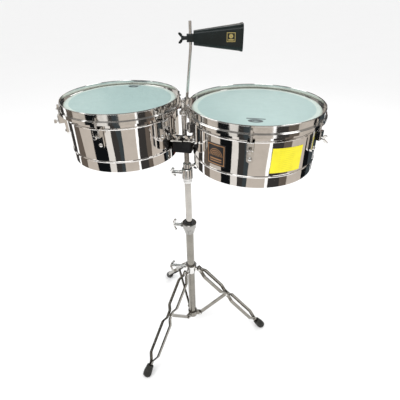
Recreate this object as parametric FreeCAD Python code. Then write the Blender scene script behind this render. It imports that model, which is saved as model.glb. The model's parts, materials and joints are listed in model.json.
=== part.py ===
import FreeCAD
import Part
import math
import os

# A pair of timbales on a folding tripod stand, with a cowbell on a rod between the drums.
# Millimetres, +Z up. Everything is built round the stand's own axis, x = y = 0, with the floor at z = 0.
# The last step moves the whole model so that the origin is the bottom centre of its bounding box.

# ---------------------------------------------------------------- driving dimensions: drums
DRUM_LINE_Y = 11.0          # the drums' centre line stands this far behind the stand axis
RIM_TOP_Z = 1010.0          # height of both rims above the floor
SHELL_DEPTH = 165.0
SHELL_WALL = 1.2
LEFT_SHELL_R = 165.0        # 13 inch drum
RIGHT_SHELL_R = 178.0       # 14 inch drum
SHELL_GAP = 64.0            # between the two shells
SHELL_GAP_X = -5.5          # middle of that gap
HEAD_DROP = 12.0            # from the rim's top edge down to the playing surface
HEAD_THICK = 0.5
BEAD_R = 3.0                # stiffening beads rolled into the shell
LOWER_BEAD_UP = 33.0        # from the shell's bottom edge
UPPER_BEAD_DOWN = 34.0      # from the shell's top edge
HOOP_OUT = 3.0              # flesh hoop: inner wall, measured out from the shell
HOOP_WIDE = 4.0
HOOP_TALL = 9.0
RIM_OUT = 12.0              # rim wall, measured out from the shell
RIM_WALL = 1.6
RIM_FLANGE_DOWN = 20.0      # rim's outer flange below its top edge
RIM_FLANGE_OUT = 5.5
RIM_EAR_WIDE = 4.6          # ears pressed out round each tension rod
RIM_LIP = 10.0
LUGS = 6
LUG_START = 31.0            # azimuth of the first lug, degrees
ROD_R = 3.0                 # tension rods
ROD_COLLAR = 1.8            # collar under each rod's head, past the rod
ROD_OUT = ROD_R + ROD_COLLAR + 0.4   # rod circle, measured out from the rim's wall
LUG_TOP_DOWN = 38.0         # top of the lugs below the rim's top edge
LUG_BLOCK_TALL = 24.0
ROD_SUNK = 13.0             # tension rod inside its lug
CROSS_BOLT_UP = 5.0         # cross bolt above the bottom of the lug's block
LUG_BLOCK_WIDE = 19.0
LUG_PLATE_TALL = 62.0
LUG_PLATE_WIDE = 19.0
LUG_PLATE_THICK = 9.0
LUG_BEYOND_ROD = 8.0        # lug's outer face past the rod's axis
BADGE_AZIMUTH = 240.5
BADGE_HALF_ANGLE = 9.5
BADGE_TALL = 62.0
BADGE_UP = 48.0             # from the shell's bottom edge
BADGE_THICK = 0.9

# ---------------------------------------------------------------- driving dimensions: stand
UPPER_POST_R = 7.95
TUBE_WALL = 1.5
TUBE_STEP = 3.15            # each tube's radius over the one that slides in it
MIDDLE_TUBE_R = UPPER_POST_R + TUBE_STEP
BASE_TUBE_R = MIDDLE_TUBE_R + TUBE_STEP
SCREW_R = 4.0               # clamp and wing screws of the stand
BASE_TUBE_BOTTOM = 45.0
HEIGHT_CLAMP_Z = 517.0
HEIGHT_CLAMP_TALL = 47.0
HEIGHT_CLAMP_R = BASE_TUBE_R + 9.75
UPPER_CLAMP_Z = 732.0
UPPER_CLAMP_TALL = 53.0
UPPER_CLAMP_R = MIDDLE_TUBE_R + 6.4
MIDDLE_TUBE_BOTTOM = 320.0
UPPER_POST_BOTTOM = 560.0
COLLAR_TALL = 16.0
PIVOT_R = BASE_TUBE_R + 19.75   # radius of the hub and lower bracket pivots
LOWER_PIVOT_Z = 62.0
BRACE_LENGTH = 175.0        # also the leg's length from its hub pivot to its middle pivot
LEG_ANGLE = 40.0            # from vertical, legs spread
LEG_AZIMUTHS = {"right": 6.4, "rear": 126.4, "front": -113.6}
SCREW_AZIMUTH = 186.4       # clamp screws stand between the rear and front legs
PIN_R = 3.0
BRACE_THICK = 8.0
BRACE_DEEP = 11.0
BAR_DEEP = 13.0             # folded leg bars: channel section
BAR_FLANGE = 5.0
BAR_WALL = 1.6
BAR_SPREAD = 21.0           # half the width over the bars where they bow apart
FOOT_R = 16.0
FOOT_LONG = 44.0
FOOT_OVER = 20.0            # rubber past the end of the bars, before the floor cuts it
FOOT_END_UP = 0.7           # centre of the uncut foot's end above the floor

# ---------------------------------------------------------------- driving dimensions: mount head
BLOCK_UP = 55.5             # block's top above the shells' bottom edge
BLOCK_TALL = 33.0
BLOCK_SIDE_GAP = 3.5        # between the block's cheeks and each shell
BLOCK_FRONT = -34.0
BLOCK_BACK = 24.0
BLOCK_PLATE = 4.0
TILT_DOWN = 18.0            # tilt pin below the block's top
TILT_PIN_R = 4.0
TILT_HEAD = 0.8             # the tilt pin's flat rivet heads
KNUCKLE_R = 10.0
KNUCKLE_HALF = 12.0
ACCESSORY_POST_X = -5.5
ACCESSORY_POST_Y = 6.0
ACCESSORY_POST_R = 7.5
HOLDER_DOWN = 26.0          # underside of the rod holder below the rims' top
HOLDER_TALL = 15.0
HOLDER_WIDE = 12.0
TONGUE_THICK = 4.0
WING_SCREW_R = 3.0
DRUM_SLIDE = 10.0           # outward travel of each drum on its slotted tongue
LEFT_SCREW = (-22.0, -22.0)
RIGHT_SCREW = (14.0, -20.0)

# ---------------------------------------------------------------- driving dimensions: cowbell
COWBELL_ROD_R = 4.0
COWBELL_ROD_Y = 49.0
COWBELL_ROD_X = -5.5        # where the rod passes through its holder
COWBELL_ROD_LEAN = 6.2      # degrees from vertical, towards +X
COWBELL_ROD_BELOW = 60.0    # rod below the holder
KNEE_UP = 130.0             # heights above the rims' top
ROD_TOP_UP = 195.0
COWBELL_UP = 153.5
DEPTH_MARK_UP = 12.5        # depth mark on the rod above the cowbell's screw
DEPTH_MARK_DEEP = 0.3
COWBELL_AZIMUTH = 12.2
COWBELL_LONG = 134.0
COWBELL_WALL = 1.6
COWBELL_MOUTH = (69.0, 50.0)
COWBELL_END = (36.0, 28.0)
COWBELL_OFFSET = 9.0        # rod axis to the bell's closed end

# ---------------------------------------------------------------- clearances
RUN = 0.06                  # radial clearance of pins, shafts and screws that turn
SLIDE = 0.05                # radial clearance of tubes in their bushes
OPEN = 0.3                  # clearance where a folding loop is left open
SEAT = 0.05                 # clearance of pieces fixed in one another
TOUCH = 0.02                # gap between faces that rest on each other

LEG_TOP_Z = LOWER_PIVOT_Z + 2 * BRACE_LENGTH * math.cos(math.radians(LEG_ANGLE))
SHELL_TOP_Z = RIM_TOP_Z - HEAD_DROP - HEAD_THICK - TOUCH
SHELL_BOTTOM_Z = SHELL_TOP_Z - SHELL_DEPTH
LEG_LENGTH = (LEG_TOP_Z - FOOT_END_UP) / math.cos(math.radians(LEG_ANGLE)) - FOOT_OVER
BLOCK_TOP_Z = SHELL_BOTTOM_Z + BLOCK_UP
TILT_Z = BLOCK_TOP_Z - TILT_DOWN
HOLDER_Z = RIM_TOP_Z - HOLDER_DOWN
COWBELL_ROD_KNEE_Z = RIM_TOP_Z + KNEE_UP
COWBELL_ROD_TOP_Z = RIM_TOP_Z + ROD_TOP_UP
COWBELL_Z = RIM_TOP_Z + COWBELL_UP
LEFT_X = SHELL_GAP_X - SHELL_GAP / 2 - LEFT_SHELL_R
RIGHT_X = SHELL_GAP_X + SHELL_GAP / 2 + RIGHT_SHELL_R
BLOCK_LEFT = SHELL_GAP_X - SHELL_GAP / 2 + BLOCK_SIDE_GAP
BLOCK_RIGHT = SHELL_GAP_X + SHELL_GAP / 2 - BLOCK_SIDE_GAP

ZERO = FreeCAD.Vector(0, 0, 0)
UP = FreeCAD.Vector(0, 0, 1)
ALONG_X = FreeCAD.Vector(1, 0, 0)
ALONG_Y = FreeCAD.Vector(0, 1, 0)
nodes = {}


def point(x, y, z):
    return FreeCAD.Vector(x, y, z)


def keep(name, shape):
    nodes[name] = shape


def rod(radius, start, end):
    """A round bar between two points."""
    way = end - start
    return Part.makeCylinder(radius, way.Length, start, way)


def pipe(outer, inner, start, end):
    return rod(outer, start, end).cut(rod(inner, start - (end - start), end + (end - start)))


def block(x0, x1, y0, y1, z0, z1):
    return Part.makeBox(x1 - x0, y1 - y0, z1 - z0, point(x0, y0, z0))


def polygon(points):
    return Part.Face(Part.makePolygon(points + points[:1]))


def turned(profile, x=0.0, y=0.0):
    """A body of revolution about a vertical axis at x, y, from (radius, z) points."""
    face = polygon([point(x + radius, y, z) for radius, z in profile])
    return face.revolve(point(x, y, 0), UP, 360)


def around(shape, azimuth, x=0.0, y=0.0):
    """A copy of a shape, turned about the vertical axis at x, y."""
    copy = shape.copy()
    copy.rotate(point(x, y, 0), UP, azimuth)
    return copy


def radial(azimuth, radius, z, x=0.0, y=0.0):
    angle = math.radians(azimuth)
    return point(x + radius * math.cos(angle), y + radius * math.sin(angle), z)


def stadium(start, end, radius, half_thick):
    """A flat link with round ends, in the plane y = 0, from start to end."""
    way = end - start
    across = point(way.z, 0, -way.x).normalize() * radius
    low = point(0, -half_thick, 0)
    corners = [start + across + low, end + across + low, end - across + low, start - across + low]
    bar = polygon(corners).extrude(point(0, 2 * half_thick, 0))
    for centre in (start, end):
        bar = bar.fuse(rod(radius, centre + low, centre - low))
    return bar.removeSplitter()


def rounded_wire(points, radius):
    """Straight runs joined by tangent arcs."""
    edges = []
    last = points[0]
    for before, here, after in zip(points, points[1:], points[2:]):
        back = (before - here).normalize()
        on = (after - here).normalize()
        turn = math.pi - back.getAngle(on)
        cut = min(radius * math.tan(turn / 2), 0.45 * (before - here).Length, 0.45 * (after - here).Length)
        bulge = (back + on).normalize()
        arc_radius = cut / math.tan(turn / 2)
        middle = here + bulge * (arc_radius / math.cos(turn / 2) - arc_radius)
        start = here + back * cut
        end = here + on * cut
        edges.append(Part.LineSegment(last, start).toShape())
        edges.append(Part.Arc(start, middle, end).toShape())
        last = end
    edges.append(Part.LineSegment(last, points[-1]).toShape())
    return Part.Wire(edges)


def swept(path, profile):
    return path.makePipeShell([profile], True, False)


def round_rod(points, bend, radius):
    """A round rod bent along a path, with flat ends."""
    path = rounded_wire(points, bend)
    ring = Part.Wire(Part.makeCircle(radius, points[0], points[1] - points[0]))
    return swept(path, ring)


def softened(shape, radius, wanted):
    """The shape with the edges that pass the test rounded."""
    edges = [edge for edge in shape.Edges if wanted(edge)]
    return shape.makeFillet(radius, edges)


def vertical(edge):
    return abs(edge.tangentAt(edge.FirstParameter).z) > 0.99


# ---------------------------------------------------------------- hand screws
def t_screw(reach, shaft_long, shaft_r):
    """A clamp screw along +X: the shaft's tip at x = 0, a T handle whose arms sweep back at x = reach."""
    screw = rod(shaft_r, ZERO, point(shaft_long, 0, 0))
    neck = rod(shaft_r + 2.2, point(shaft_long, 0, 0), point(reach, 0, 0))
    screw = screw.fuse(neck)
    arm_r = 4.2
    half = 21.0
    sweep = 5.0
    bow = [point(reach - sweep, -half, 0), point(reach + 2, -half / 3, 0)]
    bow += [point(reach + 2, half / 3, 0), point(reach - sweep, half, 0)]
    handle = round_rod(bow, 30.0, arm_r)
    for end in (bow[0], bow[-1]):
        handle = handle.fuse(Part.makeSphere(arm_r + 0.6, end))
    return screw.fuse(handle).removeSplitter()


def wing_screw(tip_drop, half_span, shaft_r):
    """A wing screw along +Z: the wings' boss starts at z = 0 and the shaft reaches down by tip_drop."""
    boss_tall = 7.0
    wing_tall = 15.0
    thick = 3.0
    screw = rod(shaft_r, point(0, 0, -tip_drop), point(0, 0, 1))
    screw = screw.fuse(Part.makeCone(6.2, 4.6, boss_tall, ZERO, UP))
    low = 1.2
    for side in (-1, 1):
        outline = [point(0, 0, low), point(side * half_span * 0.72, 0, wing_tall * 0.30)]
        outline += [point(side * half_span, 0, wing_tall * 0.62), point(side * half_span * 0.96, 0, wing_tall)]
        outline += [point(side * half_span * 0.70, 0, wing_tall * 0.96), point(0, 0, boss_tall * 0.8)]
        wing = polygon(outline).extrude(point(0, thick, 0))
        wing.translate(point(0, -thick / 2, 0))
        corners = [edge for edge in wing.Edges if abs(edge.tangentAt(edge.FirstParameter).y) > 0.99]
        outer = [edge for edge in corners if abs(edge.CenterOfMass.x) > half_span * 0.6]
        screw = screw.fuse(wing.makeFillet(half_span * 0.11, outer))
    return screw.removeSplitter()


def stood(shape, foot, direction):
    """A shape made along +Z, moved so that it starts at foot and points along direction."""
    copy = shape.copy()
    copy.Placement = FreeCAD.Placement(foot, FreeCAD.Rotation(UP, direction))
    return copy


# ---------------------------------------------------------------- drums
def shell_profile(radius):
    """Both sides of the shell's wall, as (radius, z) points, with its beads and its rolled bottom edge."""
    beads = (SHELL_BOTTOM_Z + LOWER_BEAD_UP, SHELL_TOP_Z - UPPER_BEAD_DOWN)
    outer = [(radius - 3.5, SHELL_BOTTOM_Z), (radius - 0.8, SHELL_BOTTOM_Z), (radius, SHELL_BOTTOM_Z + 0.8)]
    steps = 6
    for bead in beads:
        for step in range(steps + 1):
            angle = math.pi * (step / steps - 0.5)
            out = BEAD_R * math.cos(angle) * 0.75
            outer.append((radius + out, bead + BEAD_R * math.sin(angle)))
    outer.append((radius, SHELL_TOP_Z - 0.6))
    outer.append((radius - 0.6, SHELL_TOP_Z))
    inner = [(radius - SHELL_WALL, SHELL_TOP_Z)]
    for bead in reversed(beads):
        for step in range(steps + 1):
            angle = math.pi * (0.5 - step / steps)
            out = BEAD_R * math.cos(angle) * 0.75
            inner.append((radius + out - SHELL_WALL, bead + (BEAD_R - SHELL_WALL / 2) * math.sin(angle)))
    inner.append((radius - SHELL_WALL, SHELL_BOTTOM_Z + SHELL_WALL))
    inner.append((radius - 3.5, SHELL_BOTTOM_Z + SHELL_WALL))
    return outer + inner


def make_shell(x, radius):
    return turned(shell_profile(radius), x, DRUM_LINE_Y)


def make_head(x, radius):
    """The plastic skin, drawn over the bearing edge and down into its hoop."""
    top = RIM_TOP_Z - HEAD_DROP
    fold_r = radius + HOOP_OUT
    bottom = top - 10.0
    profile = [(0, top), (radius + 0.5, top), (fold_r - 0.6, top - 1.0), (fold_r, top - 2.6), (fold_r, bottom)]
    profile += [(fold_r - HEAD_THICK, bottom), (fold_r - HEAD_THICK, top - 2.8)]
    profile += [(fold_r - 1.1, top - 1.5), (radius + 0.4, top - HEAD_THICK), (0, top - HEAD_THICK)]
    return turned(profile, x, DRUM_LINE_Y)


def make_flesh_hoop(x, radius):
    """The channel ring that holds the edge of the skin."""
    top = RIM_TOP_Z - HEAD_DROP - 4.0
    inner = radius + HOOP_OUT + SEAT
    profile = [(inner, top), (inner + HOOP_WIDE - 0.8, top), (inner + HOOP_WIDE, top - 0.8)]
    profile += [(inner + HOOP_WIDE, top - HOOP_TALL), (inner, top - HOOP_TALL)]
    return turned(profile, x, DRUM_LINE_Y)


def make_rim(x, radius):
    """The pressed counterhoop: wall, ledge over the flesh hoop, outer flange and lip, drilled for the rods."""
    wall_out = radius + RIM_OUT
    wall_in = wall_out - RIM_WALL
    ledge_in = radius + HOOP_OUT + 1.0
    ledge = RIM_TOP_Z - HEAD_DROP - 4.0 + TOUCH
    flange = RIM_TOP_Z - RIM_FLANGE_DOWN
    flange_out = wall_out + RIM_FLANGE_OUT
    profile = [(wall_in - 0.2, RIM_TOP_Z - 1.2), (wall_in + 0.5, RIM_TOP_Z), (wall_out + 0.2, RIM_TOP_Z)]
    profile += [(wall_out + 1.0, RIM_TOP_Z - 0.8), (wall_out + 1.0, RIM_TOP_Z - 2.2), (wall_out, RIM_TOP_Z - 3.2)]
    profile += [(wall_out, flange + 0.8), (wall_out + 0.8, flange), (flange_out - 1.4, flange)]
    profile += [(flange_out, flange - 1.4), (flange_out, flange - RIM_LIP), (flange_out - RIM_WALL, flange - RIM_LIP)]
    profile += [(flange_out - RIM_WALL, flange - RIM_WALL - 0.6), (flange_out - RIM_WALL - 0.6, flange - RIM_WALL)]
    profile += [(wall_in, flange - RIM_WALL), (wall_in, ledge - 0.6), (wall_in - 0.1, ledge)]
    profile += [(ledge_in, ledge), (ledge_in, ledge + RIM_WALL), (wall_in - 0.8, ledge + RIM_WALL)]
    profile += [(wall_in, ledge + RIM_WALL + 0.8)]
    rim = turned(profile, x, DRUM_LINE_Y)
    inside = Part.makeCylinder(wall_out - 0.4, 100, point(x, DRUM_LINE_Y, flange - 50))
    holes = []
    for azimuth in lug_azimuths():
        low = radial(azimuth, rod_radius(radius), flange - RIM_LIP - 1, x, DRUM_LINE_Y)
        ear_low = low + UP * (RIM_LIP + 1 - RIM_WALL)
        rim = rim.fuse(rod(ROD_R + RIM_EAR_WIDE, ear_low, ear_low + UP * RIM_WALL).cut(inside))
        holes.append(rod(ROD_R + 0.4, low, low + UP * (RIM_LIP + 4)))
    return rim.cut(Part.makeCompound(holes)).removeSplitter()


def lug_azimuths():
    return [LUG_START + 360.0 / LUGS * number for number in range(LUGS)]


def rod_radius(radius):
    """Distance from the drum's axis to its tension rods."""
    return radius + RIM_OUT + ROD_OUT


def make_lug(x, radius):
    """One lug at azimuth 0: a tapped block on an oval plate that follows the shell."""
    top = RIM_TOP_Z - LUG_TOP_DOWN
    reach = rod_radius(radius) + LUG_BEYOND_ROD
    half = LUG_BLOCK_WIDE / 2
    body = block(x + radius - 2, x + reach, DRUM_LINE_Y - half, DRUM_LINE_Y + half, top - LUG_BLOCK_TALL, top)
    body = softened(body, 3.0, lambda edge: edge.CenterOfMass.x > x + reach - 1)
    plate_low = top - LUG_PLATE_TALL
    plate_r = LUG_PLATE_WIDE / 2
    plate_end = x + radius + LUG_PLATE_THICK
    foot = point(x + radius - 3, DRUM_LINE_Y, plate_low + plate_r)
    oval = rod(plate_r, foot, point(plate_end, DRUM_LINE_Y, foot.z))
    oval = oval.fuse(block(foot.x, plate_end, DRUM_LINE_Y - plate_r, DRUM_LINE_Y + plate_r, foot.z, top - 5))
    ridge = Part.makeSphere(plate_r * 0.62, point(plate_end - 1.5, DRUM_LINE_Y, plate_low + plate_r + 2))
    lug = body.fuse(oval.removeSplitter()).fuse(ridge)
    bore = rod(ROD_R + SEAT, point(x + rod_radius(radius), DRUM_LINE_Y, top - ROD_SUNK - 1), point(
        x + rod_radius(radius), DRUM_LINE_Y, top + 1))
    cross = rod(ROD_R + SEAT, point(x + radius + 10, DRUM_LINE_Y, top - LUG_BLOCK_TALL + CROSS_BOLT_UP), point(
        x + reach + 1, DRUM_LINE_Y, top - LUG_BLOCK_TALL + CROSS_BOLT_UP))
    skin = Part.makeCylinder(radius + BEAD_R * 0.75 + SEAT, 400, point(x, DRUM_LINE_Y, top - 200))
    return lug.cut(Part.makeCompound([bore, cross, skin]))


def make_rods(x, radius):
    """Square-headed tension rods and their washers, one of each to a lug."""
    head_low = RIM_TOP_Z - RIM_FLANGE_DOWN + 1.3
    side = ROD_R + 0.1
    at = point(x + rod_radius(radius), DRUM_LINE_Y, 0)
    foot = RIM_TOP_Z - LUG_TOP_DOWN - ROD_SUNK
    stem = rod(ROD_R, at + UP * foot, at + UP * head_low)
    collar = rod(ROD_R + ROD_COLLAR, at + UP * head_low, at + UP * (head_low + 2.2))
    head = block(at.x - side, at.x + side, at.y - side, at.y + side, head_low + 2.2, head_low + 10.0)
    head = softened(head, 0.8, vertical)
    screw = stem.fuse(collar).fuse(head)
    low = at + UP * (RIM_TOP_Z - RIM_FLANGE_DOWN + TOUCH)
    washer = rod(ROD_R + 1.2, low, low + UP * 1.2).cut(rod(ROD_R + 0.1, low - UP, low + UP * 3))
    return copies(Part.makeCompound([screw, washer]), x)


def make_lug_bolts(x, radius, azimuths):
    """Square-headed bolts that stand out from the lugs."""
    top = RIM_TOP_Z - LUG_TOP_DOWN
    z = top - LUG_BLOCK_TALL + CROSS_BOLT_UP
    face = x + rod_radius(radius) + LUG_BEYOND_ROD
    start = point(x + radius + 11, DRUM_LINE_Y, z)
    stem = rod(ROD_R, start, point(face + 5, DRUM_LINE_Y, z))
    head = block(face + 5, face + 12, DRUM_LINE_Y - 4.5, DRUM_LINE_Y + 4.5, z - 4.5, z + 4.5)
    head = softened(head, 1.2, lambda edge: edge.CenterOfMass.x > face + 11.9)
    return copies(stem.fuse(head), x, azimuths)


def copies(shape, x, azimuths=None):
    chosen = azimuths if azimuths else lug_azimuths()
    return Part.makeCompound([around(shape, azimuth, x, DRUM_LINE_Y) for azimuth in chosen])


def make_bracket(side, x, radius, screw):
    """A mount bracket: a plate on the shell with a slotted tongue that lies on the mount block."""
    shell_face = x - side * (radius + BEAD_R * 0.75 + SEAT)
    toward = -side
    plate_in = shell_face + toward * 4.0
    y0 = 3.0
    y1 = 35.0
    low = BLOCK_TOP_Z + TOUCH
    high = low + 60.0
    x0, x1 = sorted((x - side * (radius - 6), plate_in))
    plate = block(x0, x1, y0, y1, low, high)
    tongue_end = screw[0] + toward * (DRUM_SLIDE + 6.0)
    x0, x1 = sorted((shell_face - toward * 1.0, tongue_end))
    tongue = block(x0, x1, screw[1] - 9.0, screw[1] + 9.0, low, low + TONGUE_THICK)
    x0, x1 = sorted((x - side * (radius - 6), plate_in))
    bridge = block(x0, x1, screw[1] - 9.0, y1, low, low + TONGUE_THICK)
    rib = block(x0, x1, screw[1] + 16.0, y1, low, low + 14.0)
    bracket = plate.fuse(tongue).fuse(bridge).fuse(rib).removeSplitter()
    slot_r = WING_SCREW_R + 0.4
    slot = rod(slot_r, point(screw[0], screw[1], low - 1), point(screw[0], screw[1], low + 9))
    x0, x1 = sorted((screw[0], tongue_end + toward * 2))
    slot = slot.fuse(block(x0, x1, screw[1] - slot_r, screw[1] + slot_r, low - 1, low + 9))
    skin = Part.makeCylinder(radius + BEAD_R * 0.75 + SEAT, 400, point(x, DRUM_LINE_Y, low - 200))
    return bracket.cut(skin).cut(slot)


def make_drum(name, side, x, radius, screw, wing_lug):
    keep(name + "_shell", make_shell(x, radius))
    keep(name + "_head", make_head(x, radius))
    keep(name + "_flesh_hoop", make_flesh_hoop(x, radius))
    keep(name + "_rim", make_rim(x, radius))
    lug = make_lug(x, radius)
    keep(name + "_lugs", copies(lug, x))
    keep(name + "_tension_rods", make_rods(x, radius))
    plain = [azimuth for azimuth in lug_azimuths() if azimuth != wing_lug]
    keep(name + "_lug_bolts", make_lug_bolts(x, radius, plain))
    keep(name + "_mount_bracket", make_bracket(side, x, radius, screw))
    low = BLOCK_TOP_Z + TONGUE_THICK + 2 * TOUCH
    half_span = 15.5 if side < 0 else 13.0
    screw_shape = wing_screw(TONGUE_THICK + BLOCK_PLATE + 3.0, half_span, WING_SCREW_R)
    screw_shape.rotate(ZERO, UP, 20 * side)
    keep(name + "_mount_wing_screw", stood_flat(screw_shape, point(screw[0], screw[1], low)))


def stood_flat(shape, foot):
    copy = shape.copy()
    copy.translate(foot)
    return copy


# ---------------------------------------------------------------- tripod
def leg_frame(shape):
    """Turns a shape made along -Z from the hub pivot into the spread leg's direction, at azimuth 0."""
    copy = shape.copy()
    copy.rotate(point(PIVOT_R, 0, LEG_TOP_Z), ALONG_Y, -LEG_ANGLE)
    return copy


def leg_bar(side):
    """One channel-section bar of a leg, at azimuth 0, hanging straight down from the hub pivot."""
    pinch = BRACE_THICK / 2 + OPEN + BAR_FLANGE
    tip = BAR_FLANGE + 0.1
    middle = BRACE_LENGTH
    run = 15.0
    flare = 34.0
    stations = [(-9.0, pinch), (run - 4, pinch), (flare, BAR_SPREAD), (middle - flare, BAR_SPREAD)]
    stations += [(middle - run, pinch), (middle + run, pinch), (middle + flare, BAR_SPREAD)]
    stations += [(LEG_LENGTH - 68.0, BAR_SPREAD), (LEG_LENGTH - 40.0, tip), (LEG_LENGTH, tip)]
    path = [point(PIVOT_R, side * out, LEG_TOP_Z - down) for down, out in stations]
    start = path[0]
    deep = BAR_DEEP / 2
    across = [(-deep, 0), (deep, 0), (deep, BAR_FLANGE), (deep - BAR_WALL, BAR_FLANGE)]
    across += [(deep - BAR_WALL, BAR_WALL), (BAR_WALL - deep, BAR_WALL), (BAR_WALL - deep, BAR_FLANGE)]
    across += [(-deep, BAR_FLANGE)]
    corners = [start + point(x, -side * inward, 0) for x, inward in across]
    profile = Part.makePolygon(corners + corners[:1])
    return swept(rounded_wire(path, 18.0), profile)


def make_leg(name, azimuth, hub_clear):
    bars = []
    hub_hole = rod(PIN_R + hub_clear, point(PIVOT_R, -20, LEG_TOP_Z), point(PIVOT_R, 20, LEG_TOP_Z))
    middle_z = LEG_TOP_Z - BRACE_LENGTH
    mid_hole = rod(PIN_R + SEAT, point(PIVOT_R, -20, middle_z), point(PIVOT_R, 20, middle_z))
    for side in (-1, 1):
        bars.append(leg_bar(side).cut(hub_hole).cut(mid_hole))
    keep("leg_" + name, around(leg_frame(Part.makeCompound(bars)), azimuth))
    grip = BRACE_THICK / 2 + OPEN + BAR_FLANGE
    keep("leg_" + name + "_pivot_pin", around(leg_frame(headed_pin(PIVOT_R, middle_z, grip)), azimuth))
    keep("foot_" + name, around(make_foot(), azimuth))


def headed_pin(radius_at, z, half):
    """A rivet along Y with domed heads outside half the grip."""
    pin = rod(PIN_R, point(radius_at, -half - 1, z), point(radius_at, half + 1, z))
    for side in (-1, 1):
        face = point(radius_at, side * (half + TOUCH), z)
        pin = pin.fuse(Part.makeCone(5.2, 3.6, 2.2, face, point(0, side, 0)))
    return pin


def make_foot():
    """A rubber boot on the tip of a leg, cut flat where it meets the floor, at azimuth 0."""
    end = LEG_TOP_Z - LEG_LENGTH
    low = end - FOOT_OVER
    half = FOOT_R
    profile = [(0, low), (half * 0.72, low), (half * 0.93, low + 3), (half, low + 8), (half, low + 20)]
    profile += [(half * 0.86, low + FOOT_LONG - 6), (half * 0.80, low + FOOT_LONG), (0, low + FOOT_LONG)]
    boot = turned(profile, PIVOT_R, 0)
    pocket_deep = BAR_DEEP / 2 + SEAT
    pocket_wide = BAR_FLANGE + 0.1 + SEAT
    pocket = block(PIVOT_R - pocket_deep, PIVOT_R + pocket_deep, -pocket_wide, pocket_wide, end, end + 100)
    boot = leg_frame(boot.cut(pocket))
    floor = Part.makeBox(2000, 400, 200, point(-1000, -200, -200))
    return boot.cut(floor)


def make_brace(name, azimuth):
    low = point(PIVOT_R, 0, LOWER_PIVOT_Z)
    angle = math.radians(LEG_ANGLE)
    high = low + point(math.sin(angle), 0, math.cos(angle)) * BRACE_LENGTH
    bar = stadium(low, high, BRACE_DEEP / 2, BRACE_THICK / 2)
    for pivot in (low, high):
        bar = bar.cut(rod(PIN_R + RUN, pivot - ALONG_Y * 20, pivot + ALONG_Y * 20))
    keep("brace_" + name, around(bar, azimuth))


def ear(inner, z, half_low, half_high):
    """A flat ear from a collar out to the pivot radius, between two y values, at azimuth 0."""
    tall = 7.5
    plate = block(inner, PIVOT_R, half_low, half_high, z - tall, z + tall)
    return plate.fuse(rod(tall, point(PIVOT_R, half_low, z), point(PIVOT_R, half_high, z)))


def make_lower_bracket():
    """The collar at the foot of the base tube, with a clevis for each brace."""
    outer = BASE_TUBE_R + 5.0
    low = LOWER_PIVOT_Z - 13
    high = LOWER_PIVOT_Z + 13
    collar = pipe(outer, BASE_TUBE_R + SEAT, point(0, 0, low), point(0, 0, high))
    inner = BRACE_THICK / 2 + OPEN
    pins = []
    for azimuth in LEG_AZIMUTHS.values():
        for side in (-1, 1):
            near, far = sorted((side * inner, side * (inner + 3.0)))
            collar = collar.fuse(around(ear(outer - 2.5, LOWER_PIVOT_Z, near, far), azimuth))
        bore = rod(PIN_R + SEAT, point(PIVOT_R, -20, LOWER_PIVOT_Z), point(PIVOT_R, 20, LOWER_PIVOT_Z))
        collar = collar.cut(around(bore, azimuth))
        pins.append(around(headed_pin(PIVOT_R, LOWER_PIVOT_Z, inner + 3.0), azimuth))
    keep("lower_bracket", collar.removeSplitter())
    keep("lower_pivot_pins", Part.makeCompound(pins))


def make_leg_hub():
    """The sliding collar that carries the tops of the legs."""
    outer = BASE_TUBE_R + 5.5
    low = LEG_TOP_Z - 14
    high = LEG_TOP_Z + 25
    bore_r = BASE_TUBE_R + OPEN
    profile = [(bore_r, low), (outer - 1, low), (outer, low + 1.5), (outer, high - 10), (outer + 2.5, high - 8)]
    profile += [(outer + 2.5, high - 1.5), (outer + 1, high), (bore_r, high)]
    hub = turned(profile)
    pins = []
    grip = BRACE_THICK / 2 + OPEN + BAR_FLANGE
    for azimuth in LEG_AZIMUTHS.values():
        arm = ear(outer - 2.5, LEG_TOP_Z, -BRACE_THICK / 2, BRACE_THICK / 2)
        bore = rod(PIN_R + SEAT, point(PIVOT_R, -20, LEG_TOP_Z), point(PIVOT_R, 20, LEG_TOP_Z))
        hub = hub.fuse(around(arm, azimuth)).cut(around(bore, azimuth))
        pins.append(around(headed_pin(PIVOT_R, LEG_TOP_Z, grip), azimuth))
    screw_z = LEG_TOP_Z + 12
    hub = add_boss(hub, screw_z, outer - 2, outer + 9, SCREW_AZIMUTH, 9.0, bore_r)
    keep("leg_hub", hub.removeSplitter())
    keep("hub_pivot_pins", Part.makeCompound(pins))
    keep("hub_screw", placed_t_screw(screw_z, BASE_TUBE_R + OPEN, outer + 9, 78.0, SCREW_AZIMUTH, 0.0))


def add_boss(body, z, inner, outer, azimuth, radius, bore_r):
    """A round boss with a bore for a clamp screw, on a collar."""
    boss = rod(radius, point(inner, 0, z), point(outer, 0, z))
    boss = boss.cut(rod(bore_r, point(0, 0, z - 40), point(0, 0, z + 40)))
    hole = rod(SCREW_R + RUN, point(0, 0, z), point(outer + 1, 0, z))
    return body.fuse(around(boss, azimuth)).cut(around(hole, azimuth))


def placed_t_screw(z, tip, neck, reach, azimuth, roll):
    """A clamp screw whose tip stands at radius tip, whose neck starts past radius neck."""
    screw = t_screw(reach - tip, neck + 1.0 - tip, SCREW_R)
    screw.rotate(ZERO, ALONG_X, roll)
    screw.translate(point(tip, 0, z))
    return around(screw, azimuth)


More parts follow.
